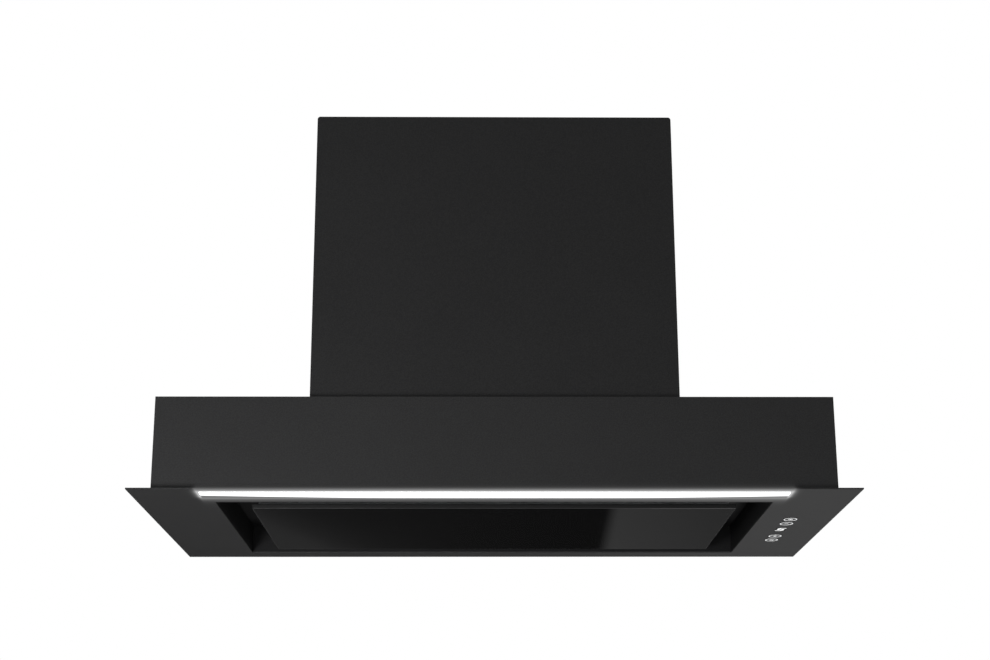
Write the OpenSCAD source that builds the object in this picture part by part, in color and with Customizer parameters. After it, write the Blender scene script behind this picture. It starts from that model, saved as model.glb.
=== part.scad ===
// Built-in range hood for a 600 mm wall cabinet, seen from below in use.
// Frame: X to the right, Y from front to rear, Z up. The origin is the centre of the flange's underside.

/* [Flange] */
// Width of the visible flange
flange_w = 598; // [590:1:640]
// Depth of the visible flange, front to rear
flange_d = 298; // [297:1:310]
// Thickness of the flange sheet
flange_t = 1.2; // [0.8:0.1:1.5]

/* [Intake] */
// Width of the intake opening
intake_w = 468; // [440:1:474]
// Depth of the intake opening
intake_d = 227; // [224:1:228]
// Flange left in front of the intake opening
intake_front = 48.5; // [47:0.5:50]
// Height of the intake ceiling over the flange's underside
ceiling_h = 27; // [26:0.5:34]
// Thickness of the intake sheet
tray_t = 1; // [0.8:0.1:1.2]
// Width of the lip that the intake is welded down by
tray_lip = 8; // [6:0.5:9]

/* [Casing] */
// Width of the lower casing
casing_w = 560; // [556:1:568]
// Height of the lower casing's top over the flange's underside
casing_h = 80; // [72:1:100]
// Flange left in front of the casing
casing_front = 7; // [5:0.5:7.5]
// Flange left behind the casing
casing_rear = 14; // [10:0.5:15]
// Thickness of the casing and housing sheet
sheet_t = 1; // [0.8:0.1:1.2]
// Width of the turned-in lips that are screwed together
lip_w = 12; // [11:0.5:15]
// Radius of the holes that the hood is screwed to the cabinet through
fixing_hole_r = 2.25; // [1.8:0.05:2.8]
// Distance between the two fixing holes of a side
fixing_pitch = 180; // [150:1:200]
// Height of the fixing holes over the flange's underside
fixing_h = 55; // [48:1:60]
// Thickness of the plate behind the fixing holes
fixing_plate_t = 2; // [1.5:0.1:3]

/* [Motor housing] */
// Width of the motor housing
housing_w = 307; // [300:1:330]
// Depth of the motor housing
housing_d = 250; // [246:1:262]
// Height of the motor housing over the casing
housing_h = 255; // [248:1:300]
// Step from the casing's front face back to the housing's
housing_inset = 5; // [3:0.5:8]
// Outer radius of the bend along the housing's top edges
bend_r = 2.5; // [1.5:0.1:5]

/* [Panel] */
// Width of the glass panel
panel_w = 415; // [408:1:430]
// Depth of the glass panel
panel_d = 185; // [183:1:188]
// Gap from the intake's front edge to the panel
panel_front_gap = 29.5; // [27:0.5:31]
// Height of the glass underside over the flange's underside
panel_recess = 1; // [0.5:0.1:2]
// Thickness of the glass
glass_t = 4; // [3:0.5:5]
// Thickness of the steel backing
backing_t = 1; // [0.8:0.1:1.2]
// Distance from the glass's side and rear edges in to the backing
backing_inset = 4; // [3:0.5:4.5]
// Distance from the glass's front edge in to the backing
backing_front = 12; // [8:0.5:16]
// Height of the backing's turned-up edge
backing_edge_h = 4; // [3:0.5:4.5]
// Distance from the panel's rear edge forward to the hinge axis
hinge_inset = 8; // [7:0.5:9]
// Height of the hinge axis over the glass underside
hinge_rise = 13; // [12.5:0.5:15]
// Radius of the hinge pins
hinge_pin_r = 2; // [1.5:0.1:2.2]
// Radial clearance of the hinge pins in their ears
hinge_clearance = 0.06; // [0.03:0.01:0.1]

/* [Grease filter] */
// Width of the filter cassette
filter_w = 356; // [350:1:368]
// Depth of the filter cassette
filter_d = 166; // [160:1:168]
// Thickness of the filter cassette
filter_t = 9; // [8:0.5:12]
// How far the cassette reaches below the ceiling
filter_drop = 1.5; // [0.5:0.1:2.5]
// Distance from the intake's front edge to the cassette
filter_front = 35.5; // [34:0.5:37]
// Width of the cassette's rim
filter_rim = 12; // [10:0.5:16]
// Thickness of the packed mesh
mesh_t = 2; // [1:0.1:3]
// How far the cassette slides back to free its front tongues
filter_travel = 5; // [4:0.1:5.5]
// Overlap of the front tongues on the ceiling
tongue_lap = 4; // [3:0.1:4]
// Gap in front of the cassette and behind it in its opening
filter_gap = 1; // [0.5:0.1:1.5]
// Gap at each side of the cassette in its opening
filter_side_gap = 5.5; // [1:0.5:7]

/* [Light] */
// Length of the light slot
led_w = 483; // [470:1:490]
// Width of the light slot
led_d = 18; // [16:0.5:18.5]
// Distance from the flange's front edge to the middle of the slot
led_front = 18.8; // [18.5:0.1:19.5]
// How far the diffuser stands below the flange
led_proud = 1.2; // [0.6:0.1:1.5]
// Height of the aluminium channel over the flange
channel_h = 13; // [11:0.5:18]
// Wall of the aluminium channel
channel_t = 1; // [0.8:0.1:1.1]
// Gap round the diffuser in its slot
led_gap = 0.15; // [0.1:0.05:0.3]
// Distance from one light chip to the next
led_pitch = 12; // [8:1:20]

/* [Controls] */
// Distance from the middle of the hood to the button row
button_x = 261.5; // [260.5:0.1:263]
// Radius of a button cap
button_r = 6.2; // [5:0.1:6.4]
// Distance between the two buttons of a pair
button_pitch = 18.5; // [16.5:0.1:19]
// Distance between the middles of the two pairs
pair_pitch = 74.4; // [68:0.1:80]
// Distance from the flange's middle back to the middle of the row
button_row_y = 14; // [8:0.5:18]
// How far a button stands below the flange
button_proud = 0.5; // [0.3:0.1:1]
// Travel of a button
button_travel = 0.8; // [0.5:0.1:0.8]
// Radial gap round a button in the flange
button_gap = 0.3; // [0.2:0.05:0.5]
// Width of the display lens
lens_w = 9.5; // [7:0.5:11]
// Length of the display lens
lens_d = 16; // [12:0.5:18]

/* [Blower] */
// Radius of the impeller
impeller_r = 66; // [60:1:68]
// Width of the scroll
scroll_w = 150; // [130:1:156]
// Gap between the impeller and the scroll's first quarter
scroll_gap = 12; // [9:0.5:13]
// Growth of the scroll's radius in each quarter
scroll_step = 10; // [6:0.5:10]
// Wall of the scroll
scroll_t = 1.6; // [1.2:0.1:2.4]
// Height of the fan axis over the casing
fan_lift = 110; // [106:1:120]
// Radius of the air inlets in the scroll
inlet_r = 52; // [48:1:55]
// Number of blades on each side of the impeller
blade_count = 24; // [12:1:28]
// Thickness of the impeller's middle disc
disc_t = 3; // [2:0.5:5]
// Radius of the motor body
motor_r = 34; // [28:1:36]
// Length of the motor body
motor_l = 78; // [72:1:84]
// Radius of the motor shaft
shaft_r = 4; // [3:0.5:5]
// Radial clearance of the shaft in the motor
shaft_clearance = 0.05; // [0.03:0.01:0.1]

/* [Outlet] */
// Outer radius of the duct collar
collar_r = 74.5; // [60:0.5:76]
// Wall of the duct collar
collar_t = 1.5; // [1.2:0.1:2.5]
// Height of the duct collar
collar_h = 34; // [26:1:40]
// Distance from the flange's middle back to the middle of the collar
collar_y = 20; // [18:0.5:24]
// Thickness of a flap
flap_t = 1.2; // [1:0.1:1.4]
// Radius of the flap pin
flap_pin_r = 1.5; // [1.2:0.1:2]
// Radial clearance of the flaps on their pin
flap_clearance = 0.06; // [0.03:0.01:0.1]

/* [Electrics] */
// Bore radius of the mains gland
gland_bore_r = 4; // [3:0.5:5]
// Thread radius of the mains gland
gland_thread_r = 8; // [7:0.5:10]
// Radius of the capacitor
capacitor_r = 15; // [12:1:18]
// Length of the capacitor
capacitor_l = 60; // [50:1:80]
// Radius of the thin leads
lead_r = 1.5; // [1:0.1:2]
// Radius of the motor lead
motor_lead_r = 3; // [2:0.5:3.5]

/* [Screws] */
// Radius of a screw's shank
screw_r = 1.95; // [1.4:0.05:2.2]
// Radius of a screw's head
screw_head_r = 3.5; // [3:0.1:3.9]
// Height of a screw's head
screw_head_h = 2; // [1.4:0.1:2.4]
// Radial clearance of a screw in its hole
screw_clearance = 0.1; // [0.05:0.01:0.2]

/* [Hidden] */
$fn = 64;

// Finishes
coat = [0.15, 0.15, 0.155];
black_glass = [0.04, 0.04, 0.045];
black_plastic = [0.09, 0.09, 0.09];
zinc = [0.66, 0.67, 0.68];
aluminium = [0.78, 0.79, 0.80];
opal = [0.96, 0.96, 0.94];

// A hair of running room between pieces that move past each other, and how far a cut runs past a face
hair = 0.3;
cut = 1;

// Flange and casing, as low and high limits along Y
flange_y = [-flange_d / 2, flange_d / 2];
intake_y = [flange_y[0] + intake_front, flange_y[0] + intake_front + intake_d];
casing_y = [flange_y[0] + casing_front, flange_y[1] - casing_rear];
inner_x = casing_w / 2 - sheet_t;
inner_y = [casing_y[0] + sheet_t, casing_y[1] - sheet_t];
deck_z = [casing_h - sheet_t, casing_h];
tray_lip_rear = min(tray_lip, inner_y[1] - intake_y[1] - tray_t - hair);
weld_tab_d = 30;
weld_tab_gap = 4;
plate_margin = 15;
plate_h = 24;
deck_gap = 0.2;

// Motor housing
housing_y = [casing_y[0] + housing_inset, casing_y[0] + housing_inset + housing_d];
housing_inner_x = housing_w / 2 - sheet_t;
housing_z = [casing_h, casing_h + housing_h];
deck_open_x = housing_w / 2 - 2 * lip_w;
deck_open_y = [housing_y[0] + 2 * lip_w, housing_y[1] - 2 * lip_w];

// Screws
screw_hole_r = screw_r + screw_clearance;
screw_l = 8;
screw_edge = 3;
lip_mid = lip_w / 2 + 1;
casing_screw_in = 28;
casing_screw_out = 20;
casing_screw_x = [housing_w / 2 + casing_screw_out, inner_x - casing_screw_in];
casing_screw_y = [inner_y[0] + lip_w - screw_edge, inner_y[1] - lip_mid];
housing_screw_end = 45;
housing_screw_y = [housing_y[0] + housing_screw_end, mid(housing_y), housing_y[1] - housing_screw_end];
back_screw_end = 30;
back_screw_z = [housing_z[0] + back_screw_end, mid(housing_z), housing_z[1] - back_screw_end];
collar_screw_angle = 50;

// Glass panel and its hinges
panel_y = [intake_y[0] + panel_front_gap, intake_y[0] + panel_front_gap + panel_d];
glass_z = [panel_recess, panel_recess + glass_t];
backing_z = [glass_z[1], glass_z[1] + backing_t];
backing_y = [panel_y[0] + backing_front, panel_y[1] - backing_inset];
hinge_y = panel_y[1] - hinge_inset;
hinge_z = panel_recess + hinge_rise;
knuckle_w = 12;
knuckle_wall = 2.5;
knuckle_r = hinge_pin_r + knuckle_wall;
ear_wall = 3;
ear_r = hinge_pin_r + ear_wall;
ear_t = 3;
ear_gap = 0.5;
hinge_w = knuckle_w + 2 * ear_gap + 2 * ear_t;
hinge_side_gap = 2.5;
notch_gap = 2;
bracket_base_t = 2;
foot_t = 2;
foot_reach = 30;
hinge_screw_gap = 2.5;
hinge_screw_y = ear_r + screw_head_r + hinge_screw_gap;
bracket_base_y = grow([hinge_y, hinge_y], hinge_screw_y + screw_head_r);
catch_w = 12;
catch_d = 12;
catch_y = backing_y[0] + catch_d / 2 + 2 * backing_t;
striker_t = 1.2;
pole_x = 2;
pole_t = 2;
pole_h = 1;

// Grease filter
filter_y = [intake_y[0] + filter_front, intake_y[0] + filter_front + filter_d];
filter_z = [ceiling_h - filter_drop, ceiling_h - filter_drop + filter_t];
filter_hole_x = filter_w / 2 + filter_side_gap;
filter_hole_y = [filter_y[0] - 2 * filter_gap, filter_y[1] + filter_gap + filter_travel];
side_mid_x = filter_hole_x + hinge_side_gap + hinge_w / 2;
lug_z = ceiling_h + tray_t + 0.2;
lug_t = 1;
lug_w = 20;
grip_w = 60;
grip_h = 3;
grip_slot_end = 6;
grip_slot_d = 4;
spring_side = 68;
spring_x = filter_w / 2 - spring_side;
spring_w = 50;
spring_t = 0.5;
spring_gap = 0.2;
spring_bow = filter_hole_y[1] - filter_y[1] - 2 * spring_gap;
spring_stop_w = spring_w + 6;
lug_x = [spring_x - spring_stop_w, spring_x + spring_stop_w];
spring_r = (pow(spring_w / 2, 2) + pow(spring_bow, 2) - pow(spring_t, 2)) / (2 * (spring_bow - spring_t));

// Light
led_y = flange_y[0] + led_front;
channel_z = [flange_t, flange_t + channel_h];
channel_end = 2.5;
channel_x = led_w / 2 + channel_end;
channel_side = 0.4;
channel_gap = 0.1;
channel_y = grow([led_y, led_y], led_d / 2 + channel_side + channel_t);
led_cap_t = 2;
led_board_d = 12;
diffuser_shoulder_t = 1.5;
board_t = 1.6;
board_z = [channel_z[1] - channel_t - board_t, channel_z[1] - channel_t];
chip_w = 3;
chip_t = 0.8;
chip_n = floor((led_w - 2 * led_pitch) / led_pitch);

// Controls
button_y = [for (pair = [-1, 1], half = [-1, 1])
    button_row_y + pair * pair_pitch / 2 + half * button_pitch / 2];
shoulder_w = 1.2;
shoulder_r = button_r + shoulder_w;
shoulder_t = 1;
shoulder_z = [flange_t + 0.1, flange_t + 0.1 + shoulder_t];
guide_t = 2.6;
guide_z = [shoulder_z[1] + button_travel + hair, shoulder_z[1] + button_travel + hair + guide_t];
stem_r = 2.5;
stem_fit = 0.06;
plunger_r = 1.6;
plunger_l = 0.9;
switch_gap = 0.2;
switch_z = guide_z[1] + switch_gap;
plunger_z = switch_z - plunger_l;
plunger_gap = 0.1;
stem_top = plunger_z - button_travel - plunger_gap;
switch_w = 6.2;
switch_t = 2;
carrier_w = 23;
carrier_end = 14;
carrier_x = grow([button_x, button_x], carrier_w / 2);
carrier_y = [button_y[0] - carrier_end, button_y[3] + carrier_end];
carrier_z = [flange_t, switch_z + switch_t];
pcb_z = [carrier_z[1], carrier_z[1] + board_t];
lens_gap = 0.1;
lens_lip = 0.8;
lens_lip_t = 1;
cover_h = 8;
cover_t = 1.5;
cover_z = [pcb_z[1], pcb_z[1] + cover_h];

// Blower: the scroll is three quarters of a turn of growing radius, then a straight neck
scroll_r = impeller_r + scroll_gap;
scroll_half = scroll_step / 2;
neck_y = [-scroll_half, scroll_half + scroll_r + 2 * scroll_step];
fan_y = collar_y - (neck_y[0] + neck_y[1]) / 2;
fan_z = casing_h + fan_lift;
neck_top = housing_z[1] - sheet_t - fan_z;
neck_flange_t = 2;
neck_flange_w = 14;
neck_screw_out = 4;
side_x = scroll_w / 2;
blade_side_gap = 12;
blade_end_x = side_x - scroll_t - blade_side_gap;
blade_d = 13;
blade_in_r = impeller_r - blade_d;
blade_t = 1;
blade_angle = 35;
end_ring_t = 3;
bell_h = 5;
bell_step = 8;
hub_wall = 6;
hub_r = shaft_r + hub_wall;
motor_gap = 10;
motor_x = [disc_t / 2 + motor_gap, disc_t / 2 + motor_gap + motor_l];
shaft_tip = 16;
shaft_seat = 24;
shaft_x = [-shaft_tip, motor_x[0] + shaft_seat];
ring_t = 3.2;
bracket_t = 2;
bracket_x = [side_x + scroll_t, side_x + scroll_t + bracket_t];
bracket_rim = 9;
grip_l = 8;
grip_wall = 2.5;
grip_x = [bracket_x[0], bracket_x[0] + grip_l];
arm_w = 12;
boss_wall = 3;
boss_r = screw_hole_r + boss_wall;
boss_l = 20;

guard_w = 3;
guard_t = 2;
guard_step = 14;

// Outlet
collar_base_w = 11;
base_r = collar_r + collar_base_w;
collar_z = housing_z[1];
flap_lift = 14;
flap_z = collar_z + flap_lift;
flap_gap = 0.8;
flap_r = collar_r - collar_t - flap_gap;
flap_knuckle_wall = 1.7;
flap_knuckle_r = flap_pin_r + flap_knuckle_wall;
flap_edge_gap = 0.4;
flap_edge = flap_knuckle_r + flap_edge_gap;
flap_knuckle_w = 24;
flap_knuckle_x = [[-62, 4], [-33, 33]];
stop_w = 12;
stop_d = collar_t + 5;
stop_h = 4;

// Electrics
gland_gap = 0.1;
gland_flats_w = 3;
gland_flats_r = gland_thread_r + gland_flats_w;
gland_dome_w = 1.5;
gland_dome_r = gland_thread_r + gland_dome_w;
gland_flats_h = 5;
gland_dome_h = 11;
gland_reach = 12;
gland_side = 26;
gland_rear = 30;
gland_at = [housing_inner_x - gland_side, housing_y[1] - gland_rear];
terminal_w = 40;
terminal_d = 60;
terminal_h = 60;
terminal_rear = 15;
terminal_under = 25;
terminal_x = [housing_inner_x - terminal_w, housing_inner_x];
terminal_y = [housing_y[1] - terminal_rear - terminal_d, housing_y[1] - terminal_rear];
terminal_z = [housing_z[1] - terminal_under - terminal_h, housing_z[1] - terminal_under];
wall = 2;
clip_h = 20;
capacitor_front = 55;
capacitor_lift = 150;
capacitor_at = [housing_inner_x - wall - capacitor_r, housing_y[0] + capacitor_front,
    housing_z[0] + capacitor_lift];
driver_w = 28;
driver_d = 100;
driver_h = 22;
driver_lift = 5;
driver_ahead = 5;
driver_x = [-inner_x, -inner_x + driver_w];
driver_y = grow([button_row_y - driver_ahead, button_row_y - driver_ahead], driver_d / 2);
driver_z = [flange_t + driver_lift, flange_t + driver_lift + driver_h];
lead_bend = 2.2;
lead_inset = 8;
lead_run_x = carrier_x[0] + lead_inset;
lead_run_y = (intake_y[1] + tray_t + inner_y[1]) / 2;

function span(w) = [-w / 2, w / 2];
function grow(s, d) = [s[0] - d, s[1] + d];
function mid(s) = (s[0] + s[1]) / 2;

// A box between two limits along each axis
module block(x, y, z) {
    translate([x[0], y[0], z[0]]) cube([x[1] - x[0], y[1] - y[0], z[1] - z[0]]);
}

// A round bar along X between two limits
module bar_x(x, y, z, r) {
    translate([x[0], y, z]) rotate([0, 90, 0]) cylinder(r = r, h = x[1] - x[0]);
}

// A flat outline drawn in Y and Z, given a thickness along X
module along_x(x) {
    translate([x[0], 0, 0]) rotate([90, 0, 90]) linear_extrude(x[1] - x[0]) children();
}

// A flat outline drawn in X and Z, given a thickness along Y
module along_y(y) {
    translate([0, y[1], 0]) rotate([90, 0, 0]) linear_extrude(y[1] - y[0]) children();
}

// The same piece on the other side of the hood
module flip(side) {
    mirror([side < 0 ? 1 : 0, 0, 0]) children();
}

// A pan-head screw whose head sits on the origin and whose shank points down
module screw(l = screw_l) {
    difference() {
        union() {
            cylinder(r = screw_head_r, h = screw_head_h);
            translate([0, 0, -l]) cylinder(r = screw_r, h = l);
        }
        translate([0, 0, screw_head_h / 2]) cylinder(r = screw_r / 2, h = screw_head_h, $fn = 6);
    }
}

// The hole for a screw's shank
module screw_hole() {
    translate([0, 0, -screw_l]) cylinder(r = screw_hole_r, h = screw_l + cut);
}

// Flange: one sheet with the intake, the light slot, the button holes and the display window
module trim_flange() {
    z = [0, flange_t];
    color(coat) difference() {
        block(span(flange_w), flange_y, z);
        block(span(intake_w), intake_y, grow(z, cut));
        block(span(led_w), [led_y - led_d / 2, led_y + led_d / 2], grow(z, cut));
        for (y = button_y) {
            translate([button_x, y, -cut]) cylinder(r = button_r + button_gap, h = flange_t + 2 * cut);
        }
        translate([button_x, button_row_y, 0]) block(span(lens_w), span(lens_d), grow(z, cut));
    }
}

// Where the screws through the deck stand: along the front and rear lips, then on the side lips
module at_casing_screws() {
    for (side = [-1, 1], x = casing_screw_x, y = casing_screw_y) {
        translate([side * x, y, deck_z[1]]) children();
    }
    for (side = [-1, 1]) {
        translate([side * (inner_x - lip_mid), 0, deck_z[1]]) children();
    }
}

// Lower casing: four walls, lips turned in at the top for the deck, weld tabs at the bottom
module casing_shell() {
    lip_z = [deck_z[0] - sheet_t, deck_z[0]];
    tab_z = [flange_t, flange_t + sheet_t];
    color(coat) difference() {
        union() {
            difference() {
                block(span(casing_w), casing_y, [flange_t, casing_h]);
                block(span(2 * inner_x), inner_y, [flange_t - cut, casing_h + cut]);
            }
            difference() {
                block(span(2 * inner_x), inner_y, lip_z);
                block(span(2 * inner_x - 2 * lip_w), grow(inner_y, -lip_w), grow(lip_z, cut));
            }
            for (side = [-1, 1], y = [channel_y[1] + weld_tab_gap, inner_y[1] - weld_tab_d]) {
                flip(side) block([inner_x - lip_w / 2, inner_x], [y, y + weld_tab_d], tab_z);
            }
        }
        at_casing_screws() screw_hole();
        at_housing_screws() screw_hole();
        for (y = span(fixing_pitch)) {
            bar_x(grow(span(casing_w), cut), y, fixing_h, fixing_hole_r);
        }
    }
}

// Strengthening plate inside each side wall, drilled with the wall for the cabinet screws
module side_plate(side) {
    color(zinc) flip(side) difference() {
        x = [inner_x - fixing_plate_t, inner_x];
        block(x, span(fixing_pitch + 2 * plate_margin), grow([fixing_h, fixing_h], plate_h / 2));
        for (y = span(fixing_pitch)) {
            bar_x(grow(x, cut), y, fixing_h, fixing_hole_r);
        }
    }
}

// Where the screws through the housing's bottom lips stand
module at_housing_screws() {
    for (side = [-1, 1], y = housing_screw_y) {
        translate([side * (housing_inner_x - lip_mid), y, housing_z[0] + sheet_t]) children();
    }
    for (side = [-1, 1]) {
        translate([side * housing_w / 4, housing_y[0] + sheet_t + lip_w - screw_edge, housing_z[0] + sheet_t])
            children();
    }
}

// Deck: the lid of the lower casing, open under the blower
module deck_plate() {
    color(coat) difference() {
        block(span(2 * inner_x - 2 * deck_gap), grow(inner_y, -deck_gap), deck_z);
        block(span(2 * deck_open_x), deck_open_y, grow(deck_z, cut));
        at_casing_screws() screw_hole();
        at_housing_screws() screw_hole();
    }
}

// Front outline of the motor housing with its two rounded top corners, drawn in by a wall
module housing_outline(inset) {
    half = housing_w / 2 - inset;
    top = housing_z[1] - inset;
    r = max(bend_r - inset, hair);
    translate([-half, housing_z[0]]) square([2 * half, top - r - housing_z[0]]);
    translate([-half + r, housing_z[0]]) square([2 * (half - r), top - housing_z[0]]);
    for (side = [-1, 1]) {
        translate([side * (half - r), top - r]) circle(r);
    }
}

// Where the screws of the housing's rear cover stand, heads to the rear
module at_back_screws() {
    for (side = [-1, 1], z = back_screw_z) {
        translate([side * (housing_inner_x - lip_mid), housing_y[1] + sheet_t, z])
            rotate([-90, 0, 0]) children();
    }
}

// Where the screws through the top sheet into the scroll's neck flange stand
module at_neck_screws() {
    for (x = span(scroll_w + neck_flange_w), y = grow(neck_y, neck_screw_out)) {
        translate([x, fan_y + y, housing_z[1]]) children();
    }
}

// Where the four screws of the duct collar stand
module at_collar_screws() {
    for (half = [0, 180], a = [collar_screw_angle, 180 - collar_screw_angle]) {
        translate([0, collar_y, housing_z[1] + collar_t])
            rotate(half + a) translate([mid([collar_r, base_r]), 0, 0]) children();
    }
}

// Motor housing: front, sides and top of one folded sheet, open at the rear
module motor_housing() {
    lip_z = [housing_z[0], housing_z[0] + sheet_t];
    inside_y = [housing_y[0] + sheet_t, housing_y[1]];
    rear_lip_y = [housing_y[1] - sheet_t, housing_y[1]];
    color(coat) difference() {
        union() {
            difference() {
                along_y(housing_y) housing_outline(0);
                along_y([inside_y[0], inside_y[1] + cut]) housing_outline(sheet_t);
                block(span(2 * housing_inner_x), [inside_y[0], inside_y[1] + cut], grow(lip_z, cut));
            }
            difference() {
                block(span(2 * housing_inner_x), inside_y, lip_z);
                block(span(2 * (housing_inner_x - lip_w)), grow(inside_y, -lip_w), grow(lip_z, cut));
            }
            for (side = [-1, 1]) {
                flip(side) block([housing_inner_x - lip_w, housing_inner_x], rear_lip_y,
                    [housing_z[0], housing_z[1] - bend_r]);
            }
        }
        translate([0, collar_y, housing_z[1] - 2 * sheet_t])
            cylinder(r = collar_r - collar_t, h = 4 * sheet_t);
        translate([gland_at[0], gland_at[1], housing_z[1] - 2 * sheet_t])
            cylinder(r = gland_thread_r + gland_gap, h = 4 * sheet_t);
        at_housing_screws() screw_hole();
        at_back_screws() screw_hole();
        at_neck_screws() screw_hole();
        at_collar_screws() screw_hole();
    }
}

// Rear cover of the motor housing
module housing_back() {
    color(coat) difference() {
        block(span(housing_w - 2 * sheet_t), [housing_y[1], housing_y[1] + sheet_t],
            [housing_z[0] + 2 * sheet_t, housing_z[1] - bend_r]);
        at_back_screws() screw_hole();
    }
}

// Intake: an upturned pan whose ceiling carries the filter, the hinges and the catches
module intake_tray() {
    wall_x = intake_w / 2 + tray_t;
    wall_y = grow(intake_y, tray_t);
    lip_y = [wall_y[0] - tray_lip, wall_y[1] + tray_lip_rear];
    ceiling_z = [ceiling_h, ceiling_h + tray_t];
    stop_y = [filter_hole_y[1], filter_hole_y[1] + tray_t];
    color(coat) union() {
        difference() {
            union() {
                block(span(2 * wall_x + 2 * tray_lip), lip_y, [flange_t, flange_t + tray_t]);
                block(span(2 * wall_x), wall_y, [flange_t, ceiling_z[1]]);
            }
            block(span(intake_w), intake_y, [flange_t - cut, ceiling_h]);
            block(span(2 * filter_hole_x), filter_hole_y, [ceiling_h - cut, ceiling_z[1] + cut]);
            for (side = [-1, 1], y = grow([hinge_y, hinge_y], hinge_screw_y)) {
                translate([side * side_mid_x, y, ceiling_h - cut])
                    cylinder(r = screw_hole_r, h = tray_t + 2 * cut);
            }
        }
        for (side = [-1, 1]) {
            translate([side * spring_x, 0, 0])
                block(span(spring_stop_w), stop_y, [ceiling_z[1], filter_z[1]]);
        }
    }
}

// Glass panel that covers the intake and leaves the air gap round it
module glass_panel() {
    color(black_glass) block(span(panel_w), panel_y, glass_z);
}

// Steel backing bonded to the glass: a shallow tray, notched at its rear edge for the hinges
module panel_backing() {
    x = panel_w / 2 - backing_inset;
    tray_z = [backing_z[1], backing_z[0] + backing_edge_h + cut];
    color(zinc) difference() {
        block(span(2 * x), backing_y, [backing_z[0], backing_z[0] + backing_edge_h]);
        block(span(2 * x - 2 * backing_t), grow(backing_y, -backing_t), tray_z);
        for (side = [-1, 1]) {
            translate([side * side_mid_x, 0, 0])
                block(span(hinge_w + 2 * notch_gap), [backing_y[1] - 2 * backing_t, backing_y[1] + cut],
                    tray_z);
        }
    }
}

// Fixed half of a hinge: a base under the ceiling and two ears with the pin holes
module hinge_bracket(side) {
    base_z = [ceiling_h - bracket_base_t, ceiling_h];
    ear_x = [knuckle_w / 2 + ear_gap, knuckle_w / 2 + ear_gap + ear_t];
    color(zinc) translate([side * side_mid_x, 0, 0]) difference() {
        union() {
            block(span(hinge_w), bracket_base_y, base_z);
            for (half = [-1, 1]) {
                flip(half) along_x(ear_x) {
                    translate([hinge_y, hinge_z]) circle(ear_r);
                    translate([hinge_y - ear_r, hinge_z]) square([2 * ear_r, base_z[0] - hinge_z]);
                }
            }
        }
        bar_x(span(hinge_w + 2 * cut), hinge_y, hinge_z, hinge_pin_r + hinge_clearance);
        for (y = grow([hinge_y, hinge_y], hinge_screw_y)) {
            translate([0, y, base_z[0] - cut]) cylinder(r = screw_hole_r, h = bracket_base_t + 2 * cut);
        }
    }
}

// Moving half of a hinge: a foot on the panel's backing and a knuckle round the pin
module hinge_arm(side) {
    foot_z = [backing_z[1], backing_z[1] + foot_t];
    foot_y = [hinge_y - foot_reach, hinge_y - ear_r - 1];
    color(zinc) translate([side * side_mid_x, 0, 0]) difference() {
        union() {
            block(span(knuckle_w), foot_y, foot_z);
            along_x(span(knuckle_w)) {
                translate([hinge_y, hinge_z]) circle(knuckle_r);
                polygon([[foot_y[0] + 2 * foot_t, foot_z[1]], [foot_y[1], foot_z[1]],
                    [hinge_y, hinge_z - knuckle_r], [hinge_y, hinge_z + hinge_pin_r]]);
            }
        }
        bar_x(span(knuckle_w + 2 * cut), hinge_y, hinge_z, hinge_pin_r);
    }
}

// Pin pressed into the knuckle, turning in the two ears
module hinge_pin(side) {
    color(zinc) translate([side * side_mid_x, 0, 0]) bar_x(span(hinge_w + 1), hinge_y, hinge_z, hinge_pin_r);
}

// Magnetic catch that hangs from the ceiling
module catch(side) {
    foot = backing_z[1] + striker_t + hair;
    color(black_plastic) translate([side * side_mid_x, catch_y, 0]) union() {
        block(span(catch_w), span(catch_d), [foot + pole_h, ceiling_h]);
        for (half = [-1, 1]) {
            flip(half) block([pole_x, pole_x + pole_t], span(catch_d - 2), [foot, foot + pole_h]);
        }
    }
}

// Steel striker on the backing, under the catch
module striker(side) {
    color(zinc) translate([side * side_mid_x, catch_y, 0])
        block(span(catch_w), span(catch_d), [backing_z[1], backing_z[1] + striker_t]);
}

// Rim of the filter cassette, with a groove for the mesh, front tongues and rear lugs
module filter_frame() {
    groove_z = grow([mid(filter_z), mid(filter_z)], mesh_t / 2);
    tongue_y = [filter_hole_y[0] - tongue_lap, filter_y[0]];
    lug_y = [filter_y[1], filter_hole_y[1] + tongue_lap + 1];
    z = [lug_z, lug_z + lug_t];
    color(aluminium) union() {
        difference() {
            block(span(filter_w), filter_y, filter_z);
            block(span(filter_w - 2 * filter_rim), grow(filter_y, -filter_rim), grow(filter_z, cut));
            block(span(filter_w - filter_rim), grow(filter_y, -filter_rim / 2), groove_z);
        }
        for (side = [-1, 1], x = lug_x) {
            translate([side * x, 0, 0]) block(span(lug_w), tongue_y, z);
            translate([side * x, 0, 0]) block(span(lug_w), lug_y, z);
        }
    }
}

// Packed metal mesh inside the rim
module filter_mesh() {
    color(aluminium) block(span(filter_w - filter_rim), grow(filter_y, -filter_rim / 2),
        grow([mid(filter_z), mid(filter_z)], mesh_t / 2));
}

// Finger grip under the front of the rim
module filter_grip() {
    grip_y = grow([filter_y[0], filter_y[0] + filter_rim], -1);
    grip_z = [filter_z[0] - grip_h, filter_z[0]];
    slot_z = [grip_z[0] - cut, grip_z[0] + grip_h / 2];
    color(black_plastic) difference() {
        block(span(grip_w), grip_y, grip_z);
        translate([0, mid(grip_y), 0]) block(span(grip_w - 2 * grip_slot_end), span(grip_slot_d), slot_z);
    }
}

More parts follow.
